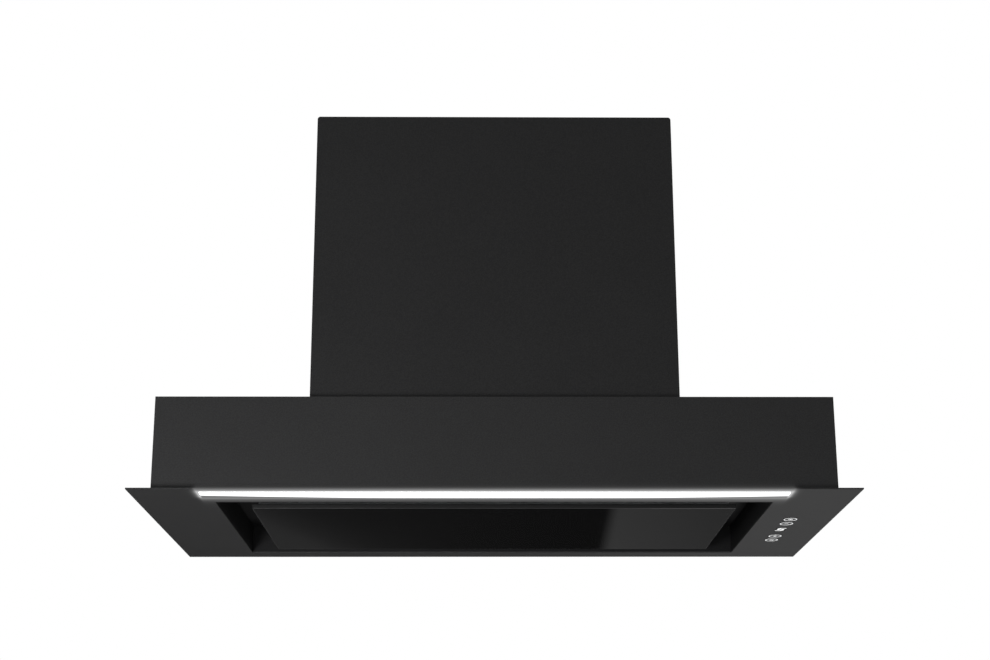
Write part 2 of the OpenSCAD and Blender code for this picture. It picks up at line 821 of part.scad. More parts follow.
// Bowed leaf spring between the cassette's rear face and its stop
module filter_spring(side) {
    crown_y = filter_hole_y[1] - spring_gap - spring_bow;
    z = grow([lug_z, filter_z[1]], -0.5);
    color(zinc) translate([side * spring_x, crown_y, z[0]]) linear_extrude(z[1] - z[0]) intersection() {
        translate([0, spring_r]) difference() {
            circle(spring_r, $fn = 200);
            circle(spring_r - spring_t, $fn = 200);
        }
        translate([-spring_w / 2, -cut]) square([spring_w, spring_bow + 2 * cut]);
    }
}

// Opal diffuser: a bar in the light slot with a shoulder that lies on the flange
module led_diffuser() {
    slot_y = [led_y - led_d / 2 + led_gap, led_y + led_d / 2 - led_gap];
    color(opal) union() {
        block(span(led_w - 2 * led_gap), slot_y, [-led_proud, flange_t]);
        block(span(2 * channel_x - 1), grow(channel_y, -channel_t - channel_gap),
            [flange_t, flange_t + diffuser_shoulder_t]);
    }
}

// Aluminium channel that covers the diffuser and cools the light board
module led_channel() {
    color(aluminium) difference() {
        block(span(2 * channel_x), channel_y, channel_z);
        block(span(2 * channel_x + 2 * cut), grow(channel_y, -channel_t),
            [channel_z[0] - cut, channel_z[1] - channel_t]);
    }
}

// Caps that close the two ends of the channel
module led_end_caps() {
    color(black_plastic) for (side = [-1, 1]) {
        flip(side) block([channel_x, channel_x + led_cap_t], channel_y, channel_z);
    }
}

// Light board under the channel's roof
module led_board() {
    color("white") block(span(led_w - 4), grow([led_y, led_y], led_board_d / 2), board_z);
}

// Row of light chips that face the diffuser
module led_chips() {
    color([0.95, 0.93, 0.6]) for (i = [0 : chip_n - 1]) {
        translate([(i - (chip_n - 1) / 2) * led_pitch, led_y, 0])
            block(span(chip_w), span(chip_w), [board_z[0] - chip_t, board_z[0]]);
    }
}

// Power supply of the light, on the left wall
module led_driver() {
    color([0.85, 0.85, 0.82]) block(driver_x, driver_y, driver_z);
}

// Push button: a cap with a shoulder that lies on the flange, and a stem to its switch
module button(i) {
    color(coat) translate([button_x, button_y[i], 0]) union() {
        translate([0, 0, -button_proud]) cylinder(r = button_r, h = shoulder_z[1] + button_proud);
        translate([0, 0, shoulder_z[0]]) cylinder(r = shoulder_r, h = shoulder_z[1] - shoulder_z[0]);
        translate([0, 0, shoulder_z[1]]) cylinder(r = stem_r, h = stem_top - shoulder_z[1]);
    }
}

// Carrier on the flange that guides the buttons and holds the switches and the display
module button_carrier() {
    color(black_plastic) difference() {
        block(carrier_x, carrier_y, carrier_z);
        for (y = button_y) {
            translate([button_x, y, 0]) {
                translate([0, 0, flange_t - cut])
                    cylinder(r = shoulder_r + hair, h = guide_z[0] - flange_t + cut);
                translate([0, 0, guide_z[0] - cut])
                    cylinder(r = stem_r + stem_fit, h = guide_z[1] - guide_z[0] + 2 * cut);
                block(span(switch_w), span(switch_w), [guide_z[1], carrier_z[1] + cut]);
            }
        }
        translate([button_x, button_row_y, 0])
            block(span(lens_w + 2 * (lens_lip + lens_gap)), span(lens_d + 2 * (lens_lip + lens_gap)),
                grow(carrier_z, cut));
    }
}

// Four tact switches, plungers down to the button stems
module tact_switches() {
    color([0.3, 0.3, 0.3]) for (y = button_y) {
        translate([button_x, y, 0]) union() {
            block(span(switch_w), span(switch_w), [switch_z, switch_z + switch_t]);
            translate([0, 0, plunger_z]) cylinder(r = plunger_r, h = switch_z - plunger_z);
        }
    }
}

// Circuit board on the carrier
module control_board() {
    color([0.05, 0.3, 0.15]) block(carrier_x, carrier_y, pcb_z);
}

// Cover over the circuit board
module control_cover() {
    color(black_plastic) difference() {
        block(carrier_x, carrier_y, cover_z);
        block(grow(carrier_x, -cover_t), grow(carrier_y, -cover_t), [cover_z[0] - cut, cover_z[1] - cover_t]);
    }
}

// Clear window for the display, flush with the flange
module display_lens() {
    color([0.1, 0.1, 0.11]) translate([button_x, button_row_y, 0]) union() {
        block(span(lens_w - 2 * lens_gap), span(lens_d - 2 * lens_gap), [0, flange_t]);
        block(span(lens_w + 2 * lens_lip), span(lens_d + 2 * lens_lip), [flange_t, flange_t + lens_lip_t]);
    }
}

// Display that shines through the lens
module display_module() {
    color([0.2, 0.2, 0.2]) translate([button_x, button_row_y, 0])
        block(span(lens_w), span(lens_d), [flange_t + lens_lip_t, pcb_z[0]]);
}

// One quarter of a round outline about its own centre, on the side that the signs give
module quarter(centre, r, signs) {
    intersection() {
        translate(centre) circle(r, $fn = 128);
        translate([centre[0] + (signs[0] < 0 ? -r - cut : 0), centre[1] + (signs[1] < 0 ? -r - cut : 0)])
            square(r + cut);
    }
}

// Outline of the scroll in Y and Z about the fan axis, drawn out by a wall, with its neck up to top
module scroll_outline(out, top) {
    quarter([-scroll_half, -scroll_half], scroll_r + out, [-1, 1]);
    quarter([scroll_half, -scroll_half], scroll_r + scroll_step + out, [-1, -1]);
    quarter([scroll_half, scroll_half], scroll_r + 2 * scroll_step + out, [1, -1]);
    square(scroll_step, center = true);
    translate([neck_y[0] - out, scroll_half]) square([neck_y[1] - neck_y[0] + 2 * out, top - scroll_half]);
}

// Where the screws that join the two halves of the scroll stand, in Y and Z about the fan axis
scroll_screw_at = [
    [-scroll_half, -scroll_half] + (scroll_r + scroll_t + boss_r - 1) * [cos(150), sin(150)],
    [scroll_half, -scroll_half] + (scroll_r + scroll_step + scroll_t + boss_r - 1) * [cos(225), sin(225)],
    [scroll_half, scroll_half] + (scroll_r + 2 * scroll_step + scroll_t + boss_r - 1) * [cos(315), sin(315)],
    [neck_y[1] + scroll_t + boss_r - 1, scroll_r / 2]
];

// Scroll: the spiral wall with its left side and the neck's flange
module blower_scroll() {
    flange_z = [neck_top - neck_flange_t, neck_top];
    color([0.25, 0.25, 0.26]) translate([0, fan_y, fan_z]) difference() {
        union() {
            difference() {
                along_x(span(scroll_w)) scroll_outline(scroll_t, neck_top);
                along_x([-side_x + scroll_t, side_x + cut]) scroll_outline(0, neck_top + cut);
            }
            for (p = scroll_screw_at) {
                bar_x([side_x - boss_l, side_x], p[0], p[1], boss_r);
            }
            difference() {
                block(span(scroll_w + 2 * neck_flange_w), grow(neck_y, neck_flange_w), flange_z);
                block(span(scroll_w - 2 * scroll_t), neck_y, grow(flange_z, cut));
            }
        }
        bar_x([-side_x - cut, -side_x + 2 * scroll_t], 0, 0, inlet_r);
        for (p = scroll_screw_at) {
            bar_x([side_x - 1.5 * screw_l, side_x + cut], p[0], p[1], screw_hole_r);
        }
        translate([0, -fan_y, -fan_z]) {
            at_neck_screws() screw_hole();
            at_collar_screws() screw_hole();
        }
    }
}

// Right side of the scroll, screwed on
module blower_cover() {
    x = [side_x, side_x + scroll_t];
    color([0.25, 0.25, 0.26]) translate([0, fan_y, fan_z]) difference() {
        union() {
            along_x(x) scroll_outline(scroll_t, neck_top - neck_flange_t);
            for (p = scroll_screw_at) {
                bar_x(x, p[0], p[1], boss_r);
            }
        }
        bar_x(grow(x, cut), 0, 0, inlet_r);
        for (p = scroll_screw_at) {
            bar_x(grow(x, cut), p[0], p[1], screw_hole_r);
        }
    }
}

// Guard of round rings and four spokes over the left inlet
module inlet_guard() {
    x = [-side_x - guard_t, -side_x];
    color(zinc) translate([0, fan_y, fan_z]) union() {
        for (i = [0 : 3]) {
            r = inlet_r + guard_w + 1 - i * guard_step;
            along_x(x) difference() {
                circle(r);
                circle(r - guard_w);
            }
        }
        for (a = [0, 90]) {
            along_x(x) rotate(a) square([2 * (inlet_r + guard_w), guard_w], center = true);
        }
    }
}

// Impeller: a middle disc on its hub, a ring of blades on each side and two end rings
module impeller() {
    disc_x = span(disc_t);
    color([0.35, 0.35, 0.36]) translate([0, fan_y, fan_z]) difference() {
        union() {
            bar_x(disc_x, 0, 0, impeller_r);
            bar_x([shaft_x[0] + 2, motor_x[0] - 2], 0, 0, hub_r);
            for (side = [-1, 1]) {
                flip(side) along_x([disc_x[1], blade_end_x]) {
                    for (i = [0 : blade_count - 1]) {
                        rotate(i * 360 / blade_count) translate([mid([blade_in_r, impeller_r]), 0])
                            rotate(blade_angle) square([impeller_r - blade_in_r - 1, blade_t], center = true);
                    }
                }
                flip(side) along_x([blade_end_x - end_ring_t, blade_end_x]) difference() {
                    circle(impeller_r);
                    circle(blade_in_r);
                }
            }
        }
        bar_x([shaft_x[0], motor_x[0]], 0, 0, shaft_r);
    }
}

// Shaft, pressed into the impeller's hub
module motor_shaft() {
    color(zinc) bar_x(shaft_x, fan_y, fan_z, shaft_r);
}

// Motor with its shaft bore and end bell
module fan_motor() {
    color([0.55, 0.56, 0.57]) difference() {
        union() {
            bar_x(motor_x, fan_y, fan_z, motor_r);
            bar_x([motor_x[0] - 1, motor_x[1] + bell_h], fan_y, fan_z, motor_r - bell_step);
        }
        bar_x([motor_x[0] - 1 - cut, shaft_x[1] + 1], fan_y, fan_z, shaft_r + shaft_clearance);
    }
}

// Motor bracket: an outer ring on the scroll's cover, three arms and a ring round the motor
module motor_bracket() {
    grip_r = motor_r + ring_t;
    color(zinc) translate([0, fan_y, fan_z]) difference() {
        union() {
            along_x(bracket_x) {
                difference() {
                    circle(inlet_r + bracket_rim);
                    circle(inlet_r);
                }
                for (a = [90 : 120 : 330]) {
                    rotate(a) translate([grip_r + 1, -arm_w / 2]) square([inlet_r - grip_r, arm_w]);
                }
            }
            bar_x(grip_x, 0, 0, grip_r + grip_wall);
        }
        bar_x(grow(grip_x, cut), 0, 0, grip_r);
    }
}

// Rubber ring that holds the motor in its bracket
module motor_rubber_ring() {
    color(black_plastic) translate([0, fan_y, fan_z]) difference() {
        bar_x(grip_x, 0, 0, motor_r + ring_t);
        bar_x(grow(grip_x, cut), 0, 0, motor_r);
    }
}

// Run capacitor in its clip on the housing's right wall
module capacitor() {
    color([0.9, 0.9, 0.9]) translate(capacitor_at) union() {
        cylinder(r = capacitor_r, h = capacitor_l);
        block([0, capacitor_r + wall], span(capacitor_r), [capacitor_l - clip_h, capacitor_l + clip_h] / 2);
    }
}

// Terminal box on the housing's right wall
module terminal_box() {
    color([0.8, 0.8, 0.78]) difference() {
        block(terminal_x, terminal_y, terminal_z);
        block([terminal_x[0] + wall, terminal_x[1] - wall], grow(terminal_y, -wall), grow(terminal_z, -wall));
    }
}

// Mains gland in the top sheet with its nut inside, empty of any cord
module mains_gland() {
    top = housing_z[1];
    color(black_plastic) translate([gland_at[0], gland_at[1], 0]) difference() {
        union() {
            translate([0, 0, top - gland_reach]) cylinder(r = gland_thread_r, h = gland_reach + cut);
            translate([0, 0, top]) cylinder(r = gland_flats_r, h = gland_flats_h, $fn = 6);
            translate([0, 0, top + gland_flats_h]) cylinder(r = gland_dome_r, h = gland_dome_h);
            translate([0, 0, top - sheet_t - gland_flats_h])
                cylinder(r = gland_flats_r, h = gland_flats_h, $fn = 6);
        }
        translate([0, 0, top - gland_reach - cut])
            cylinder(r = gland_bore_r, h = gland_reach + gland_flats_h + gland_dome_h + 2 * cut);
    }
}

// Duct collar: a tube on a screwed base ring, with stops under the flaps and holes for their pin
module outlet_collar() {
    color(black_plastic) translate([0, collar_y, 0]) difference() {
        union() {
            translate([0, 0, collar_z]) cylinder(r = base_r, h = collar_t);
            translate([0, 0, collar_z]) cylinder(r = collar_r, h = collar_h);
        }
        difference() {
            translate([0, 0, collar_z - cut]) cylinder(r = collar_r - collar_t, h = collar_h + 2 * cut);
            for (half = [-1, 1]) {
                translate([0, half * (collar_r - stop_d / 2), flap_z - flap_t / 2])
                    block(span(stop_w), span(stop_d), [-stop_h, -0.1]);
            }
        }
        bar_x(grow(span(2 * collar_r), cut), 0, flap_z, flap_pin_r);
        translate([0, -collar_y, 0]) at_collar_screws() screw_hole();
    }
}

// Backdraught flap: a half disc with two knuckles on the shared pin
module flap(half) {
    color([0.2, 0.2, 0.2]) translate([0, collar_y, flap_z]) difference() {
        union() {
            translate([0, 0, -flap_t / 2]) linear_extrude(flap_t) intersection() {
                circle(flap_r);
                translate([-collar_r, half < 0 ? -collar_r - flap_edge : flap_edge])
                    square([2 * collar_r, collar_r]);
            }
            for (x = flap_knuckle_x[half < 0 ? 0 : 1]) {
                bar_x([x, x + flap_knuckle_w], 0, 0, flap_knuckle_r);
                block([x, x + flap_knuckle_w], half < 0 ? [-flap_edge, 0] : [0, flap_edge], span(flap_t));
            }
        }
        bar_x(grow(span(2 * collar_r), cut), 0, 0, flap_pin_r + flap_clearance);
    }
}

// Pin across the collar that carries both flaps
module flap_pin() {
    color(zinc) bar_x(span(2 * collar_r - 1), collar_y, flap_z, flap_pin_r);
}

// A round lead through a list of points, each of whose bends is a right angle
module lead(points, r) {
    n = len(points) - 1;
    bend = lead_bend * r;
    way = [for (i = [0 : n - 1]) (points[i + 1] - points[i]) / norm(points[i + 1] - points[i])];
    for (i = [0 : n - 1]) {
        start = points[i] + (i > 0 ? bend : 0) * way[i];
        end = points[i + 1] - (i < n - 1 ? bend : 0) * way[i];
        turn = [0, acos(way[i][2]), atan2(way[i][1], way[i][0])];
        translate(start) rotate(turn) cylinder(r = r, h = norm(end - start));
    }
    for (i = [1 : n - 1]) {
        centre = points[i] + bend * (way[i] - way[i - 1]);
        across = cross(-way[i], way[i - 1]);
        multmatrix([for (k = [0 : 2]) [-way[i][k], way[i - 1][k], across[k], centre[k]]])
            rotate_extrude(angle = 90) translate([bend, 0]) circle(r);
    }
}

// Leads inside the hood: supply to light, controls to supply, terminal box to controls and to motor
module leads() {
    light_z = mid(channel_z);
    rear_z = mid(cover_z);
    driver_mid_x = mid(driver_x);
    high_z = casing_h - 20;
    drop_x = deck_open_x - lead_inset;
    drop_y = carrier_y[1] - lead_inset;
    motor_end = [motor_x[1] + bell_h, fan_y, fan_z];
    bend_x = motor_end[0] + lead_bend * motor_lead_r + cut;
    box_end = [terminal_x[0], drop_y, terminal_z[0] + 15];
    color([0.12, 0.12, 0.12]) {
        lead([[driver_mid_x, driver_y[0], light_z], [driver_mid_x, led_y, light_z],
            [-channel_x - led_cap_t, led_y, light_z]], lead_r);
        lead([[lead_run_x, carrier_y[1], rear_z], [lead_run_x, lead_run_y, rear_z],
            [driver_mid_x, lead_run_y, rear_z], [driver_mid_x, driver_y[1], rear_z]], lead_r);
        lead([[drop_x, drop_y, terminal_z[0]], [drop_x, drop_y, high_z], [lead_run_x, drop_y, high_z],
            [lead_run_x, drop_y, cover_z[1]]], lead_r);
        lead([motor_end, [bend_x, fan_y, fan_z], [bend_x, drop_y, fan_z], [bend_x, drop_y, box_end[2]],
            box_end], motor_lead_r);
    }
}

// Screws that hold the deck on the casing and the hinges under the ceiling
module casing_screws() {
    color(zinc) {
        at_casing_screws() screw();
        for (side = [-1, 1], y = grow([hinge_y, hinge_y], hinge_screw_y)) {
            translate([side * side_mid_x, y, ceiling_h - bracket_base_t])
                rotate([180, 0, 0]) screw(bracket_base_t + tray_t + 3);
        }
    }
}

// Screws of the motor housing, its rear cover and the duct collar
module housing_screws() {
    color(zinc) {
        at_housing_screws() screw();
        at_back_screws() screw();
        at_collar_screws() screw();
    }
}

// Screws that hang the blower from the top sheet and join its two halves
module blower_screws() {
    color(zinc) {
        at_neck_screws() screw();
        for (p = scroll_screw_at) {
            translate([side_x + scroll_t, fan_y + p[0], fan_z + p[1]]) rotate([0, 90, 0]) screw();
        }
    }
}

trim_flange();
casing_shell();
deck_plate();
motor_housing();
housing_back();
intake_tray();
side_plate(-1);  // side_plate_left
side_plate(1);  // side_plate_right
glass_panel();
panel_backing();
hinge_bracket(-1);  // hinge_bracket_left
hinge_bracket(1);  // hinge_bracket_right
hinge_arm(-1);  // hinge_arm_left
hinge_arm(1);  // hinge_arm_right
hinge_pin(-1);  // hinge_pin_left
hinge_pin(1);  // hinge_pin_right
catch(-1);  // catch_left
catch(1);  // catch_right
striker(-1);  // striker_left
striker(1);  // striker_right
filter_frame();
filter_mesh();
filter_grip();
filter_spring(-1);  // filter_spring_left
filter_spring(1);  // filter_spring_right
led_diffuser();
led_channel();
led_end_caps();
led_board();
led_chips();
led_driver();
button(0);  // button_light
button(1);  // button_slower
button(2);  // button_faster
button(3);  // button_power
button_carrier();
tact_switches();
control_board();
control_cover();
display_lens();
display_module();
blower_scroll();
blower_cover();
inlet_guard();
impeller();
motor_shaft();
fan_motor();
motor_bracket();
motor_rubber_ring();
capacitor();
terminal_box();
mains_gland();
outlet_collar();
flap(-1);  // flap_front
flap(1);  // flap_rear
flap_pin();
leads();
casing_screws();
housing_screws();
blower_screws();
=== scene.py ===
import math

import bmesh
import bpy
from mathutils import Matrix, Vector


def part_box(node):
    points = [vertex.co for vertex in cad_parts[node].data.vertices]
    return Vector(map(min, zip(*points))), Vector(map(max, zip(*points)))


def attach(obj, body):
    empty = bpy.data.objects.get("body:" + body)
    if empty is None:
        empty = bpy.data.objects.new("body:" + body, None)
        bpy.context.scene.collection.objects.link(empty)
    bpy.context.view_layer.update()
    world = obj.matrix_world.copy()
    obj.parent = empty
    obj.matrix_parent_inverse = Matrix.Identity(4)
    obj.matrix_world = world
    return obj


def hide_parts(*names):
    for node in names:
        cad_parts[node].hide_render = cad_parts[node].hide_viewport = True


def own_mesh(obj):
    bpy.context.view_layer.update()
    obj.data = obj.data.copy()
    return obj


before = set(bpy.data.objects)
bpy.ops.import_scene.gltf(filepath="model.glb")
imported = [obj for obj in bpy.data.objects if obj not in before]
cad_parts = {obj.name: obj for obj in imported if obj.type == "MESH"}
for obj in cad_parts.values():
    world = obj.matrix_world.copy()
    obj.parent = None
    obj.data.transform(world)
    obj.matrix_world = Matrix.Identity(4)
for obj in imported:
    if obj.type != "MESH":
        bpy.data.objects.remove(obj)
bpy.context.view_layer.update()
MM = 0.001


# Coated sheets: the wide flange, the casing behind it, its deck, the motor housing with its rear cover, and
# the intake pan. Steel sheet, folded and welded, then powder-coated fine matt black, so that every corner is
# a little soft. The motor housing and the intake pan take darker copies of that coat: painted shade.
class Wire:
    """A value on its way through a finish. The usual signs add the Math node that works it out."""

    def __init__(self, finish, socket):
        self.finish = finish
        self.socket = socket

    def worked(self, operation, *values):
        return self.finish.node("Math", {"operation": operation}, dict(enumerate(values)))

    def __add__(self, other):
        return self.worked("ADD", self, other)

    def __sub__(self, other):
        return self.worked("SUBTRACT", self, other)

    def __mul__(self, other):
        return self.worked("MULTIPLY", self, other)

    def __rsub__(self, other):
        return self.worked("SUBTRACT", other, self)

    def __lt__(self, other):
        return self.worked("LESS_THAN", self, other)

    def __gt__(self, other):
        return self.worked("GREATER_THAN", self, other)

    __radd__ = __add__
    __rmul__ = __mul__


class Finish:
    """One surface of the hood: a Principled shader whose fixed values stand on its own sockets."""

    def __init__(self, name, **fixed):
        self.material = bpy.data.materials.new(name)
        self.material.use_nodes = True
        self.tree = self.material.node_tree
        self.shader = self.tree.nodes["Principled BSDF"]
        self.feed(self.shader, {key.replace("_", " "): value for key, value in fixed.items()})

    def feed(self, node, values):
        for key, value in values.items():
            if isinstance(value, Wire):
                self.tree.links.new(value.socket, node.inputs[key])
            else:
                node.inputs[key].default_value = value

    def node(self, kind, settings=None, values=None, output=0):
        made = self.tree.nodes.new("ShaderNode" + kind)
        for key, value in (settings or {}).items():
            setattr(made, key, value)
        self.feed(made, values or {})
        return Wire(self, made.outputs[output])

    def place(self):
        return self.node("TexCoord", output="Object")

    def axes(self, vector):
        return [self.node("SeparateXYZ", values={"Vector": vector}, output=axis) for axis in "XYZ"]

    def facing(self):
        """Which way the surface faces, in the piece's own axes, so it stays the same when the piece moves."""
        return self.axes(self.node("TexCoord", output="Normal"))

    def beyond(self, value, reach):
        """How far a value lies outside a reach on either side of zero."""
        size = self.node("Math", {"operation": "ABSOLUTE"}, {0: value})
        return self.node("Math", {"operation": "MAXIMUM"}, {0: size - reach, 1: 0.0})

    def noise(self, per_metre, detail=2.0, place=None):
        values = {"Vector": place or self.place(), "Scale": per_metre, "Detail": detail}
        return self.node("TexNoise", values=values)

    def between(self, share, low, high):
        low, high = (shade if isinstance(shade, Wire) else (*shade, 1) for shade in (low, high))
        return self.node("Mix", {"data_type": "RGBA"}, {0: share, 6: low, 7: high}, output=2)

    def bump(self, height, depth, strength=1.0):
        values = {"Height": height, "Distance": depth, "Strength": strength}
        self.feed(self.shader, {"Normal": self.node("Bump", values=values)})


def dress(finish, *names, edge=0.0):
    """Gives CAD pieces their finish, and softens their sharp edges by the radius that the real ones have."""
    for name in names:
        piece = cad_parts[name]
        piece.data.materials.clear()
        piece.data.materials.append(finish.material)
        if edge:
            soften(piece, edge)


weld_reach = 0.002 * MM
flat_within = math.radians(0.5)
sharp_from = math.radians(35)


def soften(piece, edge):
    """Joins the triangles of each flat face, then rounds the edges between faces that meet sharply."""
    mesh = piece.data
    if "custom_normal" in mesh.attributes:
        mesh.attributes.remove(mesh.attributes["custom_normal"])
    mesh.shade_smooth()
    weld = piece.modifiers.new("weld", "WELD")
    weld.merge_threshold = weld_reach
    flat = piece.modifiers.new("flat_faces", "DECIMATE")
    flat.decimate_type = "DISSOLVE"
    flat.angle_limit = flat_within
    bevel = piece.modifiers.new("soft_edges", "BEVEL")
    bevel.width = edge
    bevel.segments = 2
    bevel.limit_method = "ANGLE"
    bevel.angle_limit = sharp_from
    bevel.harden_normals = True
    bevel.use_clamp_overlap = True


coat_grain_per_metre = 1100
coat_cloud_per_metre = 14
coat_cloud_share = 0.15
painted_glow_fade = 6.5 * MM
painted_glow_squeeze = 4.3
strip_low, strip_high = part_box("led_diffuser")
strip_mid = (strip_low + strip_high) / 2
strip_half = (strip_high - strip_low) / 2


def powder_coat(name, dark, light, shine, painted_rear_light_gain=1.0):
    """Fine matt coat, with a painted glow beside the light strip: the coat's own emission stands in for
    the light that the strip throws on the sheet right beside it.

    Faces at the rear that look forward, such as the opening's cut edge, take a base colour lighter by
    the gain: painted light."""
    made = Finish(name, Specular_IOR_Level=shine, Emission_Strength=0.5)
    grain = made.noise(coat_grain_per_metre, detail=3)
    cloud = made.noise(coat_cloud_per_metre)
    mottle = grain + cloud * coat_cloud_share
    share = made.node("MapRange", values={"Value": mottle, "From Min": 0.42, "From Max": 0.72})
    x, y, z = made.axes(made.place())
    # Painted glow: the coat emits most next to the light strip, less further away, and not on faces that look
    # up.
    away = made.beyond(y - strip_mid.y, strip_half.y) + painted_glow_squeeze * (
        made.beyond(x - strip_mid.x, strip_half.x) + made.beyond(z, 0.0)
    )
    painted_glow = made.node("Math", {"operation": "EXPONENT"}, {0: away * (-1 / painted_glow_fade)})
    facing = made.facing()
    face_up = facing[2] > 0.5
    # Painted light: faces behind the middle that look forward take a lighter base colour.
    rear_faces_painted_lighter = (facing[1] < -0.5) * (y > 0.0)
    painted_lighter_rear = made.between(share, [tone * painted_rear_light_gain for tone in dark], [tone * painted_rear_light_gain for tone in light])
    made.feed(made.shader, {
        "Base Color": made.between(rear_faces_painted_lighter, made.between(share, dark, light), painted_lighter_rear),
        "Roughness": 0.50 + grain * 0.14,
        "Emission Color": made.between(painted_glow * (1 - face_up), (0, 0, 0), (1, 1, 1)),
    })
    made.bump(grain, depth=0.05 * MM, strength=0.6)
    return made


coat = powder_coat(
    "powder_coat", dark=(0.0165, 0.0165, 0.0170), light=(0.0280, 0.0280, 0.0285), shine=0.32, painted_rear_light_gain=1.6,
)
dress(coat, "trim_flange", "casing_shell", "deck_plate", edge=0.25 * MM)
# A darker copy of the same coat, with less sheen, for the motor housing and its rear cover: painted shade.
housing_coat_painted_shade = powder_coat(
    "housing_coat_painted_shade", dark=(0.0135, 0.0135, 0.0140), light=(0.0235, 0.0235, 0.0240), shine=0.27,
)
dress(housing_coat_painted_shade, "motor_housing", "housing_back", edge=0.25 * MM)
# A much darker copy of the same coat, with little sheen, for the intake pan: painted shade inside the
# opening.
inner_coat = powder_coat(
    "inner_coat", dark=(0.0062, 0.0062, 0.0066), light=(0.0120, 0.0120, 0.0124), shine=0.12, painted_rear_light_gain=1.9,
)
dress(inner_coat, "intake_tray", edge=0.25 * MM)


# Glass panel: 4 mm toughened glass, painted black on its back and polished below. Its edges are ground to a
# dull grey. A fine lighter rim along its sides and rear is a painted highlight. It is bonded to the steel
# backing and swings on two hinges.
rim_side = 1.5 * MM
rim_rear = 3.0 * MM
rim_painted_highlight = (0.0260, 0.0263, 0.0266)
edge_grey = (0.0085, 0.0088, 0.0090)
level_from = 0.9
glass_low, glass_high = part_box("glass_panel")
glass_mid = (glass_low + glass_high) / 2
glass = Finish("black_glass", IOR=1.5, Specular_IOR_Level=0.5)
glass_smear = glass.noise(70)
glass_x, glass_y, _ = glass.axes(glass.place())
face_z = glass.facing()[2]
ground = (face_z * face_z) < level_from
# Painted highlight: a lighter grey band along the glass's sides and rear.
side_rim = glass.beyond(glass_x - glass_mid.x, glass_high.x - glass_mid.x - rim_side) > 0.0
rear_rim = glass_y > (glass_high.y - rim_rear)
rim = glass.node("Math", {"operation": "MAXIMUM"}, {0: side_rim, 1: rear_rim})
glass_black = glass.between(glass.noise(9), (0.0035, 0.0035, 0.0038), (0.0050, 0.0050, 0.0054))
glass_painted_rim = glass.between(rim, glass_black, rim_painted_highlight)
glass.feed(glass.shader, {
    "Base Color": glass.between(ground, glass_painted_rim, edge_grey),
    "Roughness": 0.035 + glass_smear * 0.02 + ground * 0.38,
})
dress(glass, "glass_panel", edge=0.5 * MM)


# Zinc-plated steel: the panel's backing, the hinges, the plates behind the side holes, the inlet guard and
# the motor bracket. Pressed from sheet, but for the guard's round rings and spokes. Plating leaves faint
# bright and dull patches.
zinc = Finish("zinc_plate", Metallic=1.0)
zinc_patch = zinc.node("TexVoronoi", values={"Vector": zinc.place(), "Scale": 160})
zinc_cloud = zinc.noise(30, detail=4)
zinc.feed(zinc.shader, {
    "Base Color": zinc.between(zinc_patch * 0.5 + zinc_cloud * 0.5, (0.36, 0.37, 0.38), (0.58, 0.59, 0.60)),
    "Roughness": 0.34 + zinc_cloud * 0.18,
})
dress(
    zinc, "panel_backing", "hinge_bracket_left", "hinge_bracket_right", "hinge_arm_left", "hinge_arm_right",
    "side_plate_left", "side_plate_right", "inlet_guard", "motor_bracket", edge=0.15 * MM,
)


# Bright steel: hinge pins, strikers, the motor shaft, the flap pin and every screw.
# Turned or rolled, so fine lines run round it.
steel = Finish("bright_steel", Metallic=1.0)
steel_place = steel.node("Mapping", values={"Vector": steel.place(), "Scale": (60, 60, 2200)})
steel_line = steel.noise(1, detail=3, place=steel_place)
steel.feed(steel.shader, {
    "Base Color": steel.between(steel_line, (0.48, 0.48, 0.49), (0.66, 0.66, 0.66)),
    "Roughness": 0.20 + steel_line * 0.16,
})
dress(
    steel, "hinge_pin_left", "hinge_pin_right", "striker_left", "striker_right", "motor_shaft", "flap_pin",
    "casing_screws", "housing_screws", "blower_screws", edge=0.12 * MM,
)


# Black plastic: the magnetic catches, the filter's grip, the light's end caps, the control carrier and cover,
# the mains gland and the duct collar. Moulded with a fine spark grain.
plastic = Finish("black_plastic", Specular_IOR_Level=0.4)
plastic_grain = plastic.noise(1600, detail=1)
plastic.feed(plastic.shader, {
    "Base Color": plastic.between(plastic.noise(20), (0.016, 0.016, 0.017), (0.026, 0.026, 0.027)),
    "Roughness": 0.46 + plastic_grain * 0.16,
})
plastic.bump(plastic_grain, depth=0.03 * MM, strength=0.5)
dress(
    plastic, "catch_left", "catch_right", "filter_grip", "led_end_caps", "button_carrier", "control_cover",
    "mains_gland", "outlet_collar", edge=0.3 * MM,
)


# Grease filter: an aluminium frame with a groove that holds layers of expanded mesh. Its front tongues lie on
# the intake's ceiling, and two leaf springs push it forward. The light's channel is of the same aluminium.
# The mesh here, three layers of slit and stretched sheet, stands for the plain slab of the CAD model.
aluminium = Finish("filter_aluminium", Metallic=1.0)
rolled = aluminium.node("Mapping", values={"Vector": aluminium.place(), "Scale": (12, 900, 900)})
rolled_line = aluminium.noise(1, detail=4, place=rolled)
aluminium.feed(aluminium.shader, {
    "Base Color": aluminium.between(rolled_line, (0.50, 0.51, 0.52), (0.68, 0.69, 0.70)),
    "Roughness": 0.28 + rolled_line * 0.2,
})
dress(aluminium, "filter_frame", "led_channel", edge=0.2 * MM)

mesh_alloy = Finish("mesh_aluminium", Metallic=1.0)
mesh_alloy_cloud = mesh_alloy.noise(220, detail=2)
mesh_alloy.feed(mesh_alloy.shader, {
    "Base Color": mesh_alloy.between(mesh_alloy_cloud, (0.42, 0.43, 0.44), (0.66, 0.67, 0.68)),
    "Roughness": 0.30 + mesh_alloy_cloud * 0.2,
})

mesh_low, mesh_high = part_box("filter_mesh")
mesh_mid = (mesh_low + mesh_high) / 2
diamond_x = 10.0 * MM
diamond_y = 5.0 * MM
strand = 0.9 * MM
strand_rise = 0.45 * MM
strand_twist = 0.6
layer_heights = (-0.55 * MM, 0.0, 0.55 * MM)
woven = bmesh.new()


